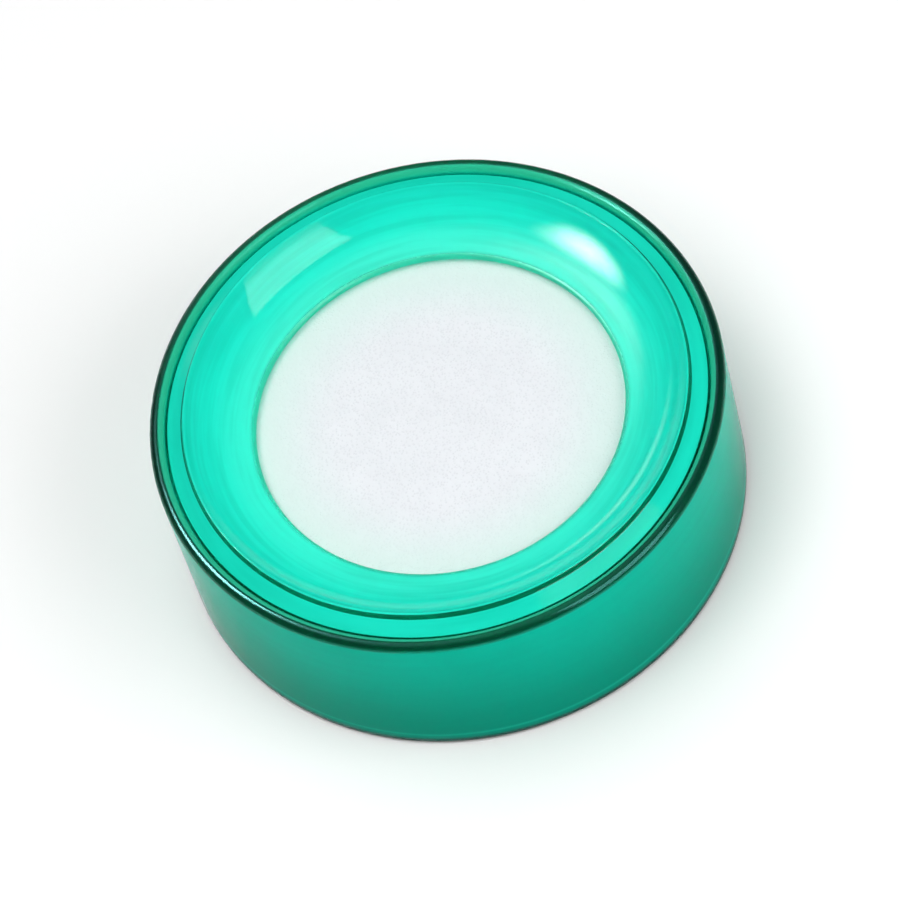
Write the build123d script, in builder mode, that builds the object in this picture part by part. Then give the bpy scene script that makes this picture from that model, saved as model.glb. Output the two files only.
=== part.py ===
from build123d import *

import math
import os

# Finger moistener: a round desk cup of clear green plastic. A funnel ring drops into the mouth of the
# cup and holds a thick white sponge, which is pressed with a fingertip through the round opening.
# Lengths are in millimetres, angles in degrees. The origin is on the table under the middle of the
# cup, and every piece is turned about the Z axis.

# Cup
body_diameter = 84.0  # outside, across the rim
rim_height = 27.15  # table to the top of the rim
wall_draft = 0.5  # the outside leans in towards the table
rim_width = 2.2  # wall of the mouth, fully rounded on top
rebate_depth = 2.85  # rim down to the ledge that carries the ring
ledge_width = 0.9  # the ledge stands in this far from the mouth
foot_width = 3.0  # flat ring that stands on the table
foot_recess = 0.8  # the underside is lifted inside the foot
floor_thickness = 2.2  # plastic above that recess
gate_diameter = 5.0  # shallow dimple where the plastic was fed in
gate_depth = 0.4
base_round = 0.8  # outer edge at the table
foot_break = 0.4  # inner edge of the foot
floor_round = 1.5  # inside corner of wall and floor

# Funnel ring
ring_clearance = 0.25  # between ring and cup, all round
shoulder_drop = 1.05  # outer edge of the ring below the rim
shoulder_width = 2.4  # outer edge of the ring in to the foot of its crest
shoulder_rise = 1.25  # over that width
flank_width = 0.4  # foot of the crest in to the crest
flank_rise = 1.05  # over that width
opening_diameter = 54.0
opening_drop = 3.95  # rim down to the top of the opening's lip
lip_thickness = 1.3  # the lip is fully rounded
bowl_radius = 12.5  # hollow curve from crest to lip, in section
shell_thickness = 1.8  # plastic under that curve
spigot_wall = 1.6  # collar that centres the ring in the cup
crest_round = 0.25
shoulder_break = 0.35
spigot_break = 0.3

# Sponge
sponge_clearance = 0.6  # between sponge and cup, all round
lip_gap = 0.3  # between sponge and ring
crown_rise = 0.6  # the face swells up into the opening
crown_inset = 1.9  # foot of that swell inside the opening
sponge_round = 1.0  # upper edge

# Places that the pieces share
body_radius = body_diameter / 2
mouth_radius = body_radius - rim_width
rim_round = rim_width / 2
rim_middle_radius = body_radius - rim_round
rim_spring_height = rim_height - rim_round
base_radius = body_radius - rim_spring_height * math.tan(math.radians(wall_draft))
foot_inner_radius = base_radius - base_round - foot_width
bore_radius = mouth_radius - ledge_width
ledge_height = rim_height - rebate_depth
floor_height = foot_recess + floor_thickness

ring_radius = mouth_radius - ring_clearance
spigot_radius = bore_radius - ring_clearance
spigot_inner_radius = spigot_radius - spigot_wall
shoulder_height = rim_height - shoulder_drop
flank_radius = ring_radius - shoulder_width
flank_height = shoulder_height + shoulder_rise
crest_radius = flank_radius - flank_width
crest_height = flank_height + flank_rise
opening_radius = opening_diameter / 2
lip_round = lip_thickness / 2
lip_radius = opening_radius + lip_round
lip_top_height = rim_height - opening_drop
lip_middle_height = lip_top_height - lip_round
lip_height = lip_top_height - lip_thickness

sponge_radius = bore_radius - sponge_clearance
sponge_height = lip_height - lip_gap
crown_radius = opening_radius - crown_inset

# Centre of the hollow curve, which passes through the crest and the top of the lip
bowl_width = crest_radius - lip_radius
bowl_depth = crest_height - lip_top_height
bowl_chord = math.hypot(bowl_width, bowl_depth)
bowl_reach = math.sqrt(bowl_radius**2 - (bowl_chord / 2) ** 2) / bowl_chord
bowl_center_radius = (lip_radius + crest_radius) / 2 - bowl_reach * bowl_depth
bowl_center_height = (lip_top_height + crest_height) / 2 + bowl_reach * bowl_width

# The underside runs parallel to the hollow curve, from the collar in to the flat of the lip
under_radius = bowl_radius + shell_thickness
under_fall = math.sqrt(under_radius**2 - (spigot_inner_radius - bowl_center_radius) ** 2)
under_height = bowl_center_height - under_fall
lip_reach = math.sqrt(under_radius**2 - (bowl_center_height - lip_height) ** 2)
lip_root_radius = bowl_center_radius + lip_reach


def rings(part):
    """The edges that run all the way round a turned piece."""
    return part.edges().filter_by(lambda edge: edge.is_closed)


# Cup: wall and floor in one moulding, with a stepped mouth and a foot ring
with BuildPart() as base_cup:
    with BuildSketch(Plane.XZ):
        with BuildLine():
            Polyline(
                (mouth_radius, rim_spring_height),
                (mouth_radius, ledge_height),
                (bore_radius, ledge_height),
                (bore_radius, floor_height),
                (0, floor_height),
                (0, foot_recess),
                (foot_inner_radius, foot_recess),
                (foot_inner_radius, 0),
                (base_radius, 0),
                (body_radius, rim_spring_height),
            )
            for quarter in (0, 90):
                CenterArc((rim_middle_radius, rim_spring_height), rim_round, quarter, 90)
        make_face()
    revolve(axis=Axis.Z)
    foot_edges = rings(base_cup).group_by(Axis.Z)[0].sort_by(SortBy.RADIUS)
    floor_edges = rings(base_cup).group_by(Axis.Z)[2]
    fillet(foot_edges[-1], base_round)
    fillet(foot_edges[0], foot_break)
    fillet(floor_edges, floor_round)
    with BuildSketch(Plane.XY.offset(foot_recess)):
        Circle(gate_diameter / 2)
    extrude(amount=gate_depth, mode=Mode.SUBTRACT)

# Funnel ring: shoulder, steep crest, hollow slope and rounded lip, with a collar below the seat
with BuildPart() as funnel_ring:
    with BuildSketch(Plane.XZ):
        with BuildLine():
            RadiusArc(
                (lip_radius, lip_top_height),
                (crest_radius, crest_height),
                -bowl_radius,
            )
            Polyline(
                (crest_radius, crest_height),
                (flank_radius, flank_height),
                (ring_radius, shoulder_height),
                (ring_radius, ledge_height),
                (spigot_radius, ledge_height),
                (spigot_radius, lip_height),
                (spigot_inner_radius, lip_height),
                (spigot_inner_radius, under_height),
            )
            RadiusArc(
                (spigot_inner_radius, under_height),
                (lip_root_radius, lip_height),
                under_radius,
            )
            Line((lip_root_radius, lip_height), (lip_radius, lip_height))
            for quarter in (90, 180):
                CenterArc((lip_radius, lip_middle_height), lip_round, quarter, 90)
        make_face()
    revolve(axis=Axis.Z)
    crest_edges = rings(funnel_ring).group_by(Axis.Z)[-1]
    shoulder_edges = rings(funnel_ring).sort_by(SortBy.RADIUS)[-2:].sort_by(Axis.Z)
    spigot_edges = rings(funnel_ring).group_by(Axis.Z)[0].sort_by(SortBy.RADIUS)[-2:]
    fillet(crest_edges, crest_round)
    fillet(shoulder_edges[-1], shoulder_break)
    fillet(spigot_edges, spigot_break)

# Sponge: fills the cup up to the ring, with a low crown in the opening
with BuildPart() as sponge:
    with BuildSketch(Plane.XZ):
        with BuildLine():
            Polyline(
                (0, sponge_height + crown_rise),
                (0, floor_height),
                (sponge_radius, floor_height),
                (sponge_radius, sponge_height),
                (crown_radius, sponge_height),
            )
            TangentArc(
                (0, sponge_height + crown_rise),
                (crown_radius, sponge_height),
                tangent=(1, 0),
            )
        make_face()
    revolve(axis=Axis.Z)
    side_edges = rings(sponge).sort_by(SortBy.RADIUS)[-2:].sort_by(Axis.Z)
    fillet(side_edges[-1], sponge_round)
    fillet(side_edges[0], floor_round)

base_cup.part.label = "base_cup"
funnel_ring.part.label = "funnel_ring"
sponge.part.label = "sponge"

os.makedirs("parts", exist_ok=True)
export_step(base_cup.part, "parts/base_cup.step")
export_step(funnel_ring.part, "parts/funnel_ring.step")
export_step(sponge.part, "parts/sponge.step")
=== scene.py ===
import math
from collections import namedtuple

import bpy
from mathutils import Matrix, Quaternion, Vector, noise


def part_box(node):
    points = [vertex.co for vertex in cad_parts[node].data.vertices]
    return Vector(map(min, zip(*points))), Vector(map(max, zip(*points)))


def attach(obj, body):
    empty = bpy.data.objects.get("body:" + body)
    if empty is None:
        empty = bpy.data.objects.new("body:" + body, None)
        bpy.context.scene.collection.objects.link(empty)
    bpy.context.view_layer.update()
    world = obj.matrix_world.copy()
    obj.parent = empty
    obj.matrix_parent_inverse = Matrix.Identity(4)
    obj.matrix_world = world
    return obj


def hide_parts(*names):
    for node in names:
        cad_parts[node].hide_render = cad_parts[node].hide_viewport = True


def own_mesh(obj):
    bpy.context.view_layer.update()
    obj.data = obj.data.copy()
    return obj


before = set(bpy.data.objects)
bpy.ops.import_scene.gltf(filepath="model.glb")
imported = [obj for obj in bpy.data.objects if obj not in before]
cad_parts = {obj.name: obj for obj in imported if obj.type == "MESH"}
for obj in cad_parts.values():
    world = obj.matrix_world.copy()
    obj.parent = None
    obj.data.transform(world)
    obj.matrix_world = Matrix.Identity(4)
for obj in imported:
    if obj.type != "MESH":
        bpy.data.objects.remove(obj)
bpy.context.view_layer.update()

# Finger moistener: green plastic cup and funnel ring around a white sponge.
# Lengths are in metres, angles in degrees. The origin is on the table under the middle of the cup.

MM = 0.001

# Photograph's view: the camera looks at the middle of the mouth, rolled clockwise
IMAGE_PX = 900
VIEW_HEIGHT = 26.8 * MM
VIEW_ELEVATION = 55.76
VIEW_ROLL = 17.28
VIEW_DISTANCE = 0.85
RIM_HALF_WIDTH_PX = 292.5
RIM_OFFSET_PX = (-14.8, -51.8)  # middle of the mouth from the middle of the image, right and down
SENSOR_MM = 36.0

# Places taken from the solids
cup_high = Vector(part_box("base_cup")[1])
ring_high = Vector(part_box("funnel_ring")[1])
sponge_low, sponge_high = (Vector(corner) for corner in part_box("sponge"))
rim_radius = cup_high.x
rim_height = cup_high.z
ring_radius = ring_high.x
sponge_radius = sponge_high.x

# Places that the boxes don't give
FLANK_INSET = 2.4 * MM  # outer edge of the ring in to the foot of its crest
FLANK_WIDTH = 0.4 * MM  # foot of the crest in to the crest
OPENING_RADIUS = 27.0 * MM
flank_radius = ring_radius - FLANK_INSET
crest_radius = flank_radius - FLANK_WIDTH

# Zones of the plastic: where each one starts and where it is whole, measured from an edge
RIM_FADE = (-1.3 * MM, -0.3 * MM)  # below the top of the rim
EDGE_FADE = (-1.5 * MM, -1.2 * MM)  # inside the outer edge of the rim
FOOT_FADE = (2.0 * MM, 0.6 * MM)  # above the table
FLOOR_LINE = (2.3 * MM, 2.7 * MM)  # above the table: a painted highlight line, where the cup's floor shows through the wall
FLOOR_LINE_BLUR = 0.3 * MM
FLOOR_LINE_SHARE = 0.45
CREST_FADE = (-0.1 * MM, 0.1 * MM)  # about the height of the rim
FLANK_TRIM = 0.1 * MM  # the dark line starts outside the crest
FLANK_SPARE = 0.05 * MM  # and ends outside the foot of the crest
FLANK_BLUR = 0.05 * MM
SLOPE_FADE = (-0.3 * MM, -1.5 * MM)  # inside the crest
INNER_FADE = (7.5 * MM, 1.0 * MM)  # outside the opening
LIP_FADE = (1.0 * MM, 0.2 * MM)  # outside the opening
GAP_FADE = (-0.2 * MM, -0.1 * MM)  # inside the outer edge of the ring

# Colours of the plastic
CUP_TINT = (0.0, 0.75, 0.54)
# Painted shade: the cup's colour near the table
CUP_PAINTED_SHADE_TINT = (0.0, 0.41, 0.275)
RIM_TINT = (0.04, 0.71, 0.43)
# Painted shade: the dark outer half of the rim's round
RIM_EDGE_SHADE_TINT = (0.0, 0.3, 0.18)
# Painted highlight: the lighter line above the foot
FLOOR_LINE_HIGHLIGHT_TINT = (0.02, 0.85, 0.64)
# Painted shade: the dark foot near the table
FOOT_SHADE_TINT = (0.0, 0.42, 0.31)
RING_TINT = (0.012, 0.76, 0.57)
# Painted shade: the ring's colour towards the table
RING_PAINTED_SHADE_TINT = (0.0, 0.64, 0.475)
# Painted light: the slope brighter than the rest of the ring
SLOPE_PAINTED_LIGHT_TINT = (0.016, 1.0, 0.81)
# Painted sheen: the paler inner part of the slope
INNER_SHEEN_TINT = (0.06, 1.0, 0.81)
# Painted shade: the dark steep side of the crest
FLANK_SHADE_TINT = (0.0, 0.08, 0.05)
# Painted shade: the dark outer edge of the ring, against the cup
GAP_SHADE_TINT = (0.0, 0.5, 0.36)
# Painted shade: the darker line round the opening
LIP_SHADE_TINT = (0.07, 0.84, 0.66)
STREAK_SHADE = (0.1, 0.5, 0.42)
CUP_DEPTH = (0.3, 0.96, 0.935)  # absorption colour, per millimetre of plastic
RING_DEPTH = (0.3, 0.987, 0.972)
CUP_GLEAM = (0.2, 0.75, 0.7)  # tint of reflections seen straight on
RING_GLEAM = (0.8, 1.0, 0.97)

# Finish of the plastic
PLASTIC_IOR = 1.4
GLOSS_LEVEL = 0.015
DEPTH_DENSITY = 1 / MM
CUP_MILK = 0.93
RING_MILK = 0.93
RIM_CLEARNESS = 0.34
EDGE_CLEARNESS = 0.9
SLOPE_CLEARNESS = 0.35
LIP_CLEARNESS = 0.5
LIP_DULLNESS = 0.3
CUP_STREAKS = 0.06
RING_STREAKS = 0.24
STREAK_WIDTH = 1.3 * MM
STREAK_BREAKS = 1.6  # the higher, the shorter the streaks
STREAK_LEVELS = (0.35, 0.7)
PATCH_SIZE = 14 * MM  # slow changes of colour
PATCH_SHADE = 0.85
CUP_ROUGHNESS = 0.14
RING_ROUGHNESS = 0.05
SCUFF_ROUGHNESS = 0.06
SCUFF_SIZE = 2.2 * MM
SCUFF_LEVELS = (0.5, 0.72)
WAVE_SIZE = 6 * MM
WAVE_DEPTH = 0.004 * MM
NOISE_LEVELS = (0.3, 0.7)  # most of the noise lies between these

# Form of the sponge
SPONGE_RINGS = 110  # from the middle of the face out to its edge
SPONGE_ROWS = 14  # down the side
SECTORS = 8  # each ring of the face has one more point in each of them
SPONGE_ROUND = 1.0 * MM
SPONGE_FOOT_ROUND = 1.6 * MM
ROUND_TURNS = (30, 60, 90)
CROWN_RISE = 0.6 * MM
CROWN_RADIUS = 25.1 * MM
CROWN_SHARE = 0.95  # leaves room for the relief
FLOOR_GAP = 0.08 * MM
RELIEF_WAVES = ((0.05 * MM, 6 * MM), (0.03 * MM, 2.2 * MM), (0.022 * MM, 0.7 * MM))  # height and size
RELIEF_LIMIT = 0.04 * MM
PORE_DEPTH = 0.09 * MM
PORE_SPACING = 1.7 * MM
PORE_REACH = 0.28  # of the spacing

# Finish of the sponge
FOAM_COLOUR = (0.77, 0.785, 0.82)
# Painted shade in the foam's pores
PORE_SHADE_COLOUR = (0.7, 0.715, 0.75)
RING_BOUNCE_COLOUR = (0.65, 0.79, 0.76)  # painted green bounce light from the ring beside it
BOUNCE_INSIDE = (-12 * MM, 0.0)  # from the edge of the opening
BOUNCE_OUTSIDE = (4 * MM, 0.0)
FOAM_GLOSS = 0.2
FOAM_SCATTER = 0.2
FOAM_SCATTER_SCALE = 0.6 * MM
FOAM_ROUGHNESS = (0.85, 0.98)
CELL_SIZE = 0.42 * MM
CELL_LEVELS = (0.12, 0.5)
GRAIN_SIZE = 0.3 * MM
GRAIN_HEIGHT = 0.6  # of a cell's
FOAM_PATCH_SIZE = 5 * MM
FOAM_PATCH_SHADE = 0.75
FOAM_BUMP = 0.6
FOAM_BUMP_DEPTH = 0.06 * MM

# Stage
DOME_EDGE = 0.25
DOME_TOP = 2.0
DOME_AZIMUTH = 125
DOME_ELEVATION = 70
DOME_SPREAD = 32  # from the middle of the bright part to where it ends
DOME_CORE = 16
FLOOR_REACH = 4.0
FLOOR_DROP = 0.1 * MM
FLOOR_SEEN = 0.97
FLOOR_BOUNCE = 0.5
LAMP_DISTANCE = 0.9
LAMP_MIDDLE = (0.5, 0.5, 0.0)  # in the lamp's own coordinates
LAMP_EDGE = 0.5
LAMP_CORE = 0.03
KEY_TARGET = Vector((27.2, 18.3, 24.9)) * MM  # right part of the ring's slope
KEY_DISTANCE = 0.13


# Node helpers


def new_material(name):
    """An empty node material with its output node."""
    material = bpy.data.materials.new(name)
    material.use_nodes = True
    tree = material.node_tree
    tree.nodes.clear()
    output = tree.nodes.new("ShaderNodeOutputMaterial")
    return material, tree, output


def add_node(tree, kind, **values):
    """A shader node with the given input values."""
    node = tree.nodes.new(kind)
    for name, value in values.items():
        node.inputs[name.replace("_", " ")].default_value = value
    return node


def feed(tree, slots, values):
    """Gives each input slot a socket or a plain value."""
    for slot, value in zip(slots, values):
        if isinstance(value, bpy.types.NodeSocket):
            tree.links.new(value, slot)
        else:
            slot.default_value = value


def math_node(tree, operation, *values):
    """A Math node fed by sockets or plain numbers."""
    node = tree.nodes.new("ShaderNodeMath")
    node.operation = operation
    feed(tree, node.inputs, values)
    return node.outputs[0]


def vector_node(tree, operation, *values):
    """A Vector Math node fed by sockets or plain vectors."""
    node = tree.nodes.new("ShaderNodeVectorMath")
    node.operation = operation
    feed(tree, node.inputs, values)
    return node.outputs["Value" if operation in ("DISTANCE", "DOT_PRODUCT") else "Vector"]


def ramp(tree, value, low, high, start=0.0, end=1.0):
    """A smooth step between two levels."""
    node = add_node(tree, "ShaderNodeMapRange", From_Min=low, From_Max=high, To_Min=start, To_Max=end)
    node.interpolation_type = "SMOOTHSTEP"
    tree.links.new(value, node.inputs["Value"])
    return node.outputs["Result"]


def fade(tree, value, edge, offsets):
    """A smooth step that starts and is whole at two offsets from an edge."""
    start, whole = offsets
    return ramp(tree, value, edge + start, edge + whole)


def band(tree, value, low, high, blur):
    """One between two levels and nothing outside them."""
    rise = ramp(tree, value, low - blur, low + blur)
    fall = ramp(tree, value, high + blur, high - blur)
    return math_node(tree, "MULTIPLY", rise, fall)


def blend_colours(tree, amount, first, second, mode="MIX"):
    """A colour between two others, or the first one shaded by the second."""
    node = tree.nodes.new("ShaderNodeMix")
    node.data_type = "RGBA"
    node.blend_type = mode
    ends = [slot for slot in node.inputs if slot.type == "RGBA"]
    colours = [(*colour, 1.0) if isinstance(colour, tuple) else colour for colour in (first, second)]
    feed(tree, ends, colours)
    tree.links.new(amount, node.inputs["Factor"])
    return [slot for slot in node.outputs if slot.type == "RGBA"][0]


def grain(tree, place, size, detail=2.0):
    """Noise whose features are about the given size."""
    node = add_node(tree, "ShaderNodeTexNoise", Scale=1.0 / size, Detail=detail)
    tree.links.new(place, node.inputs["Vector"])
    return node.outputs["Fac"]


def turned_place(tree):
    """Object position, with the distance from the axis and the height above the table."""
    place = tree.nodes.new("ShaderNodeTexCoord").outputs["Object"]
    parts = tree.nodes.new("ShaderNodeSeparateXYZ")
    tree.links.new(place, parts.inputs[0])
    across = math_node(tree, "MULTIPLY", parts.outputs["X"], parts.outputs["X"])
    square = math_node(tree, "MULTIPLY_ADD", parts.outputs["Y"], parts.outputs["Y"], across)
    return place, math_node(tree, "SQRT", square), parts.outputs["Z"]


# Materials

# Part of a piece with its own tint, most of them painted light or shade. It may be clearer and duller
# than the rest.
Zone = namedtuple("Zone", "mask tint clearness dullness", defaults=(0.0, 0.0))


def cup_zones(tree, radius, height):
    """The round of the rim, its outer half darkened by painted shade, a painted highlight line where the
    cup's floor shows through the wall, and painted shade along the foot.
    """
    rim = fade(tree, height, rim_height, RIM_FADE)
    outer = fade(tree, radius, rim_radius, EDGE_FADE)
    # painted shade on the outer half of the rim
    edge = math_node(tree, "MULTIPLY", outer, rim)
    # painted shade along the foot
    foot = ramp(tree, height, *FOOT_FADE)
    # painted highlight line above the foot
    line = math_node(tree, "MULTIPLY", band(tree, height, *FLOOR_LINE, FLOOR_LINE_BLUR), FLOOR_LINE_SHARE)
    return (
        Zone(rim, RIM_TINT, clearness=RIM_CLEARNESS),
        Zone(edge, RIM_EDGE_SHADE_TINT, clearness=EDGE_CLEARNESS),
        Zone(line, FLOOR_LINE_HIGHLIGHT_TINT),
        Zone(foot, FOOT_SHADE_TINT, clearness=1.0),
    )


def ring_zones(tree, radius, height):
    """The slope brightened by painted light, its inner part paler with a painted sheen, and painted shade
    on the steep side of the crest, along the outer edge and at the lip.
    """
    above = fade(tree, height, rim_height, CREST_FADE)
    # painted shade on the steep side of the crest
    steep = band(tree, radius, crest_radius + FLANK_TRIM, flank_radius + FLANK_SPARE, FLANK_BLUR)
    flank = math_node(tree, "MULTIPLY", steep, above)
    # painted light on the slope
    slope = fade(tree, radius, crest_radius, SLOPE_FADE)
    # painted sheen on the inner part of the slope
    inner = fade(tree, radius, OPENING_RADIUS, INNER_FADE)
    # painted shade at the lip
    lip = fade(tree, radius, OPENING_RADIUS, LIP_FADE)
    # painted shade along the ring's outer edge
    gap = fade(tree, radius, ring_radius, GAP_FADE)
    return (
        Zone(slope, SLOPE_PAINTED_LIGHT_TINT, clearness=SLOPE_CLEARNESS),
        Zone(inner, INNER_SHEEN_TINT),
        Zone(flank, FLANK_SHADE_TINT, clearness=1.0),
        Zone(gap, GAP_SHADE_TINT, clearness=1.0),
        Zone(lip, LIP_SHADE_TINT, clearness=LIP_CLEARNESS, dullness=LIP_DULLNESS),
    )


def flow_marks(tree, place, radius, height):
    """Streaks that run round the axis."""
    around = vector_node(tree, "NORMALIZE", vector_node(tree, "MULTIPLY", place, (1, 1, 0)))
    across = tree.nodes.new("ShaderNodeCombineXYZ")
    outward = math_node(tree, "ADD", radius, height)
    tree.links.new(math_node(tree, "DIVIDE", outward, STREAK_WIDTH), across.inputs["Z"])
    breaks = (STREAK_BREAKS, STREAK_BREAKS, 0)
    spread = vector_node(tree, "MULTIPLY_ADD", around, breaks, across.outputs[0])
    return ramp(tree, grain(tree, spread, 1.0, detail=3.0), *STREAK_LEVELS)


def green_plastic(name, tint, painted_shade_tint, depth_tint, gleam, milk, streaks, roughness, zones):
    """Glossy green plastic, milky, with painted shade that darkens it towards the table, painted light
    and shade in its zones, and clear along its edges.
    """
    material, tree, output = new_material(name)
    place, radius, height = turned_place(tree)
    shader = add_node(
        tree,
        "ShaderNodeBsdfPrincipled",
        IOR=PLASTIC_IOR,
        Specular_IOR_Level=GLOSS_LEVEL,
        Specular_Tint=(*gleam, 1.0),
    )
    depth = add_node(
        tree,
        "ShaderNodeVolumeAbsorption",
        Color=(*depth_tint, 1.0),
        Density=DEPTH_DENSITY,
    )
    patches = ramp(tree, grain(tree, place, PATCH_SIZE), *NOISE_LEVELS, start=PATCH_SHADE)
    # Painted shade: darker towards the table, mixed with random patches of tone
    lit = math_node(tree, "MULTIPLY", ramp(tree, height, 0.0, rim_height), patches)
    colour = blend_colours(tree, lit, painted_shade_tint, tint)
    scuffs = ramp(tree, grain(tree, place, SCUFF_SIZE, detail=6.0), *SCUFF_LEVELS)
    rough = math_node(tree, "MULTIPLY_ADD", scuffs, SCUFF_ROUGHNESS, roughness)
    milky = milk
    for zone in zones(tree, radius, height):
        # Each zone's tint is laid over the colour; most of them are painted light or shade
        colour = blend_colours(tree, zone.mask, colour, zone.tint)
        kept = math_node(tree, "MULTIPLY_ADD", zone.mask, -zone.clearness, 1.0)
        milky = math_node(tree, "MULTIPLY", milky, kept)
        rough = math_node(tree, "MULTIPLY_ADD", zone.mask, zone.dullness, rough)
    marks = math_node(tree, "MULTIPLY", flow_marks(tree, place, radius, height), streaks)
    colour = blend_colours(tree, marks, colour, STREAK_SHADE, mode="MULTIPLY")
    tree.links.new(colour, shader.inputs["Base Color"])
    tree.links.new(math_node(tree, "SUBTRACT", 1.0, milky), shader.inputs["Transmission Weight"])
    tree.links.new(rough, shader.inputs["Roughness"])
    bump = add_node(tree, "ShaderNodeBump", Strength=1.0, Distance=WAVE_DEPTH)
    tree.links.new(grain(tree, place, WAVE_SIZE), bump.inputs["Height"])
    tree.links.new(bump.outputs["Normal"], shader.inputs["Normal"])
    tree.links.new(shader.outputs["BSDF"], output.inputs["Surface"])
    tree.links.new(depth.outputs["Volume"], output.inputs["Volume"])
    return material


def sponge_foam():
    """Fine-pored white foam, with painted shade in its pores and painted green bounce light from the ring
    beside the edge of the opening.
    """
    material, tree, output = new_material("white_sponge_foam")
    place, radius, _ = turned_place(tree)
    shader = add_node(
        tree,
        "ShaderNodeBsdfPrincipled",
        Specular_IOR_Level=FOAM_GLOSS,
        Subsurface_Weight=FOAM_SCATTER,
        Subsurface_Radius=(1.0, 1.0, 1.0),
        Subsurface_Scale=FOAM_SCATTER_SCALE,
    )
    cells = add_node(tree, "ShaderNodeTexVoronoi", Scale=1.0 / CELL_SIZE)
    tree.links.new(place, cells.inputs["Vector"])
    pores = ramp(tree, cells.outputs["Distance"], *CELL_LEVELS)
    fine = grain(tree, place, GRAIN_SIZE, detail=4.0)
    patches = ramp(tree, grain(tree, place, FOAM_PATCH_SIZE), *NOISE_LEVELS, start=FOAM_PATCH_SHADE)
    shade = math_node(tree, "MULTIPLY", pores, patches)
    # painted shade in the pores, mixed with random patches of tone
    colour = blend_colours(tree, shade, PORE_SHADE_COLOUR, FOAM_COLOUR)
    # painted green bounce light from the ring, beside the opening
    inside = fade(tree, radius, OPENING_RADIUS, BOUNCE_INSIDE)
    outside = fade(tree, radius, OPENING_RADIUS, BOUNCE_OUTSIDE)
    beside = math_node(tree, "MULTIPLY", inside, outside)
    tree.links.new(blend_colours(tree, beside, colour, RING_BOUNCE_COLOUR), shader.inputs["Base Color"])
    tree.links.new(ramp(tree, fine, *NOISE_LEVELS, *FOAM_ROUGHNESS), shader.inputs["Roughness"])
    surface = math_node(tree, "MULTIPLY_ADD", fine, GRAIN_HEIGHT, pores)
    bump = add_node(tree, "ShaderNodeBump", Strength=FOAM_BUMP, Distance=FOAM_BUMP_DEPTH)
    tree.links.new(surface, bump.inputs["Height"])
    tree.links.new(bump.outputs["Normal"], shader.inputs["Normal"])
    tree.links.new(shader.outputs["BSDF"], output.inputs["Surface"])
    return material


def floor_paper():
    """Plain sweep under the object, white as seen and darker where it only throws light back."""
    material, tree, output = new_material("white_floor")
    shader = add_node(tree, "ShaderNodeBsdfDiffuse")
    path = tree.nodes.new("ShaderNodeLightPath")
    seen = math_node(tree, "MAXIMUM", path.outputs["Is Camera Ray"], path.outputs["Is Glossy Ray"])
    seen = math_node(tree, "MAXIMUM", seen, path.outputs["Is Transmission Ray"])
    level = math_node(tree, "MULTIPLY_ADD", seen, FLOOR_SEEN - FLOOR_BOUNCE, FLOOR_BOUNCE)
    tree.links.new(level, shader.inputs["Color"])
    tree.links.new(shader.outputs[0], output.inputs["Surface"])
    return material


def dress(node, material):
    """Gives a CAD node its finish."""
    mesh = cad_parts[node].data
    mesh.materials.clear()
    mesh.materials.append(material)


# Sponge


def sponge_profile():
    """Radius and height of each ring of points, from the middle of the face round to the bottom."""
    base = sponge_low.z + FLOOR_GAP
    shoulder = sponge_high.z - CROWN_RISE
    flat = sponge_radius - SPONGE_ROUND
    points = []
    for ring in range(SPONGE_RINGS + 1):
        radius = flat * ring / SPONGE_RINGS
        swell = 0.5 + 0.5 * math.cos(math.pi * min(radius / CROWN_RADIUS, 1.0))
        points.append((radius, shoulder + CROWN_SHARE * CROWN_RISE * swell))
    for turn in ROUND_TURNS:
        angle = math.radians(turn)
        out = flat + SPONGE_ROUND * math.sin(angle)
        points.append((out, shoulder - SPONGE_ROUND * (1 - math.cos(angle))))
    top = points[-1][1]
    foot = base + SPONGE_FOOT_ROUND
    for row in range(1, SPONGE_ROWS + 1):
        points.append((sponge_radius, top + (foot - top) * row / SPONGE_ROWS))
    for turn in ROUND_TURNS:
        angle = math.radians(turn)
        out = sponge_radius - SPONGE_FOOT_ROUND * (1 - math.cos(angle))
        points.append((out, foot - SPONGE_FOOT_ROUND * math.sin(angle)))
    return points


def foam_relief(point):
    """How far the foam's skin stands out at a point: slow swells, fine grain and a few open pores."""
    skin = sum(height * noise.noise(point / size) for height, size in RELIEF_WAVES)
    distances, _ = noise.voronoi(point / PORE_SPACING)
    pore = PORE_DEPTH * max(0.0, 1.0 - distances[0] / PORE_REACH)
    return min(skin, RELIEF_LIMIT) - pore


def ring_faces(inner, outer, ring, growing):
    """Faces between two neighbouring rings of points. A growing ring has one point more per sector."""
    count = SECTORS * ring
    if not growing:
        pairs = ((step, (step + 1) % count) for step in range(count))
        return [(inner + a, outer + a, outer + b, inner + b) for a, b in pairs]
    if ring == 1:
        return [(inner, outer + step, outer + (step + 1) % count) for step in range(count)]
    inner_count = count - SECTORS
    faces = []
    for sector in range(SECTORS):
        for step in range(ring):
            here = outer + sector * ring + step
            there = outer + (sector * ring + step + 1) % count
            start = inner + (sector * (ring - 1) + step) % inner_count
            end = inner + (sector * (ring - 1) + step + 1) % inner_count
            faces.append((start, here, there) if step == ring - 1 else (start, here, there, end))
    return faces


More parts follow.
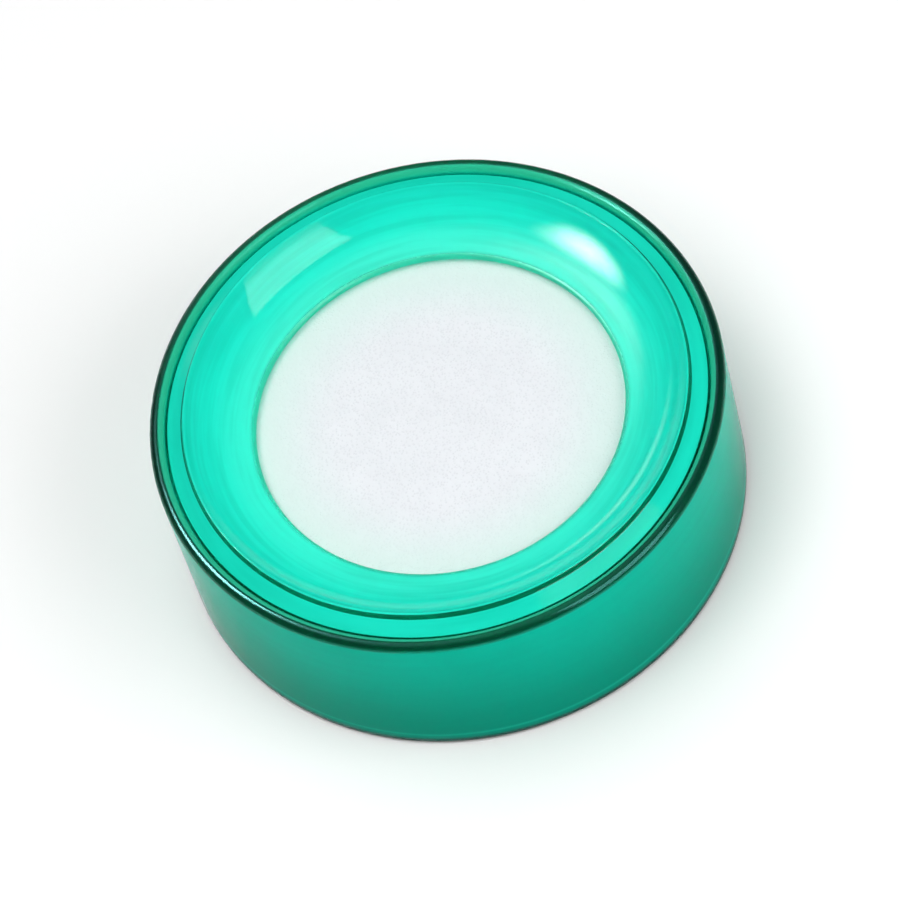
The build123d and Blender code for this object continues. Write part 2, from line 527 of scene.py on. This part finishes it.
def add_sponge():
    """Foam disc with a low crown, its skin broken up by grain and pores."""
    profile = sponge_profile()
    corners = []
    faces = []
    firsts = []
    for index, (radius, height) in enumerate(profile):
        count = SECTORS * min(index, SPONGE_RINGS) if index else 1
        before = profile[max(index - 1, 0)]
        after = profile[min(index + 1, len(profile) - 1)]
        outward = Vector((before[1] - after[1], 0, after[0] - before[0])).normalized()
        flat_foot = index == len(profile) - 1
        firsts.append(len(corners))
        for step in range(count):
            around = Matrix.Rotation(2 * math.pi * step / count, 3, "Z")
            point = around @ Vector((radius, 0, height))
            shift = 0.0 if flat_foot else foam_relief(point)
            corners.append(point + around @ outward * shift)
    for index in range(1, len(profile)):
        ring = min(index, SPONGE_RINGS)
        faces += ring_faces(firsts[index - 1], firsts[index], ring, index <= SPONGE_RINGS)
    faces.append(tuple(reversed(range(firsts[-1], len(corners)))))
    mesh = bpy.data.meshes.new("sponge_foam_disc")
    mesh.from_pydata(corners, [], faces)
    mesh.shade_smooth()
    mesh.materials.append(sponge_foam())
    sponge = bpy.data.objects.new("sponge_foam_disc", mesh)
    bpy.context.scene.collection.objects.link(sponge)
    return sponge


# Stage


def add_floor():
    """A wide flat floor just under the foot of the cup."""
    mesh = bpy.data.meshes.new("floor")
    sides = [(-1, -1), (1, -1), (1, 1), (-1, 1)]
    corners = [(x * FLOOR_REACH, y * FLOOR_REACH, -FLOOR_DROP) for x, y in sides]
    mesh.from_pydata(corners, [], [(0, 1, 2, 3)])
    floor = bpy.data.objects.new("floor", mesh)
    bpy.context.scene.collection.objects.link(floor)
    mesh.materials.append(floor_paper())


def add_camera():
    """The photograph's camera."""
    elevation = math.radians(VIEW_ELEVATION)
    roll = math.radians(VIEW_ROLL)
    forward = Vector((0, math.cos(elevation), -math.sin(elevation)))
    level_up = Vector((0, math.sin(elevation), math.cos(elevation)))
    level_right = Vector((1, 0, 0))
    right = level_right * math.cos(roll) - level_up * math.sin(roll)
    up = level_up * math.cos(roll) + level_right * math.sin(roll)
    middle = Vector((0, 0, VIEW_HEIGHT))
    place = middle - forward * VIEW_DISTANCE
    pixel = rim_radius / RIM_HALF_WIDTH_PX
    aim = middle - right * RIM_OFFSET_PX[0] * pixel + up * RIM_OFFSET_PX[1] * pixel
    back = (place - aim).normalized()
    side = up.cross(back).normalized()
    data = bpy.data.cameras.new("camera")
    data.sensor_width = SENSOR_MM
    data.lens = SENSOR_MM * VIEW_DISTANCE / (pixel * IMAGE_PX)
    camera = bpy.data.objects.new("camera", data)
    turn = Matrix((side, back.cross(side), back)).transposed()
    camera.matrix_world = Matrix.Translation(place) @ turn.to_4x4()
    bpy.context.scene.collection.objects.link(camera)
    bpy.context.scene.camera = camera


def direction(azimuth, elevation):
    """A unit vector that points away from the object."""
    turn = math.radians(azimuth)
    rise = math.radians(elevation)
    return Vector((math.cos(turn) * math.cos(rise), math.sin(turn) * math.cos(rise), math.sin(rise)))


def add_lamp(name, shape, target, azimuth, elevation, distance, size, watts, roll=0.0):
    """A softbox that faces a point of the object."""
    data = bpy.data.lights.new(name, "AREA")
    data.shape = shape
    data.size, data.size_y = size
    data.energy = watts
    lamp = bpy.data.objects.new(name, data)
    away = direction(azimuth, elevation)
    lamp.location = target + away * distance
    facing = away.to_track_quat("Z", "Y") @ Quaternion((0, 0, 1), math.radians(roll))
    lamp.rotation_euler = facing.to_euler()
    bpy.context.scene.collection.objects.link(lamp)
    return lamp


def fade_edges(lamp):
    """Lets a lamp fade from its middle to its edge."""
    lamp.data.use_nodes = True
    tree = lamp.data.node_tree
    place = tree.nodes.new("ShaderNodeNewGeometry").outputs["Parametric"]
    strength = ramp(tree, vector_node(tree, "DISTANCE", place, LAMP_MIDDLE), LAMP_EDGE, LAMP_CORE)
    tree.links.new(strength, tree.nodes["Emission"].inputs["Strength"])


def add_lamps():
    """Four lamps that only show as highlights, and two that only light the surfaces."""
    middle = Vector((0, 0, rim_height))
    key = add_lamp(
        "key",
        "ELLIPSE",
        KEY_TARGET,
        azimuth=174,
        elevation=43.3,
        distance=KEY_DISTANCE,
        size=(0.06, 0.094),
        watts=1.15,
        roll=32,
    )
    glow = add_lamp(
        "glow",
        "ELLIPSE",
        middle,
        azimuth=132,
        elevation=58,
        distance=LAMP_DISTANCE,
        size=(0.65, 0.65),
        watts=12.5,
    )
    window = add_lamp(
        "window",
        "RECTANGLE",
        middle,
        azimuth=-46,
        elevation=40,
        distance=LAMP_DISTANCE,
        size=(0.56, 0.8),
        watts=13.8,
        roll=-12,
    )
    horizon = add_lamp(
        "horizon",
        "RECTANGLE",
        middle,
        azimuth=110,
        elevation=10,
        distance=LAMP_DISTANCE,
        size=(0.9, 0.2),
        watts=3.4,
    )
    fill = add_lamp(
        "fill",
        "RECTANGLE",
        middle,
        azimuth=-38,
        elevation=40,
        distance=LAMP_DISTANCE,
        size=(0.7, 0.5),
        watts=3.4,
    )
    high = add_lamp(
        "high",
        "RECTANGLE",
        middle,
        azimuth=-135,
        elevation=68,
        distance=LAMP_DISTANCE,
        size=(0.6, 0.6),
        watts=3.3,
    )
    for faded in (key, glow, horizon):
        fade_edges(faded)
    for highlight in (key, glow, window, horizon):
        highlight.visible_diffuse = False
        highlight.visible_transmission = False
    for soft in (fill, high):
        soft.visible_glossy = False


def add_world():
    """A studio dome with one bright part overhead."""
    world = bpy.data.worlds.new("studio")
    world.use_nodes = True
    tree = world.node_tree
    background = tree.nodes["Background"]
    background.inputs["Color"].default_value = (1.0, 1.0, 1.0, 1.0)
    place = tree.nodes.new("ShaderNodeTexCoord").outputs["Generated"]
    nearness = vector_node(tree, "DOT_PRODUCT", place, direction(DOME_AZIMUTH, DOME_ELEVATION))
    low = math.cos(math.radians(DOME_SPREAD))
    high = math.cos(math.radians(DOME_CORE))
    level = ramp(tree, nearness, low, high, DOME_EDGE, DOME_TOP)
    tree.links.new(level, background.inputs["Strength"])
    bpy.context.scene.world = world


cup_plastic = green_plastic(
    "cup_green_plastic",
    tint=CUP_TINT,
    painted_shade_tint=CUP_PAINTED_SHADE_TINT,
    depth_tint=CUP_DEPTH,
    gleam=CUP_GLEAM,
    milk=CUP_MILK,
    streaks=CUP_STREAKS,
    roughness=CUP_ROUGHNESS,
    zones=cup_zones,
)
ring_plastic = green_plastic(
    "ring_green_plastic",
    tint=RING_TINT,
    painted_shade_tint=RING_PAINTED_SHADE_TINT,
    depth_tint=RING_DEPTH,
    gleam=RING_GLEAM,
    milk=RING_MILK,
    streaks=RING_STREAKS,
    roughness=RING_ROUGHNESS,
    zones=ring_zones,
)
dress("base_cup", cup_plastic)
dress("funnel_ring", ring_plastic)

sponge = add_sponge()
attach(sponge, "sponge")
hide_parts("sponge")
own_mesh(sponge)

add_floor()
add_camera()
add_world()
add_lamps()
bpy.context.scene.view_settings.view_transform = "Standard"
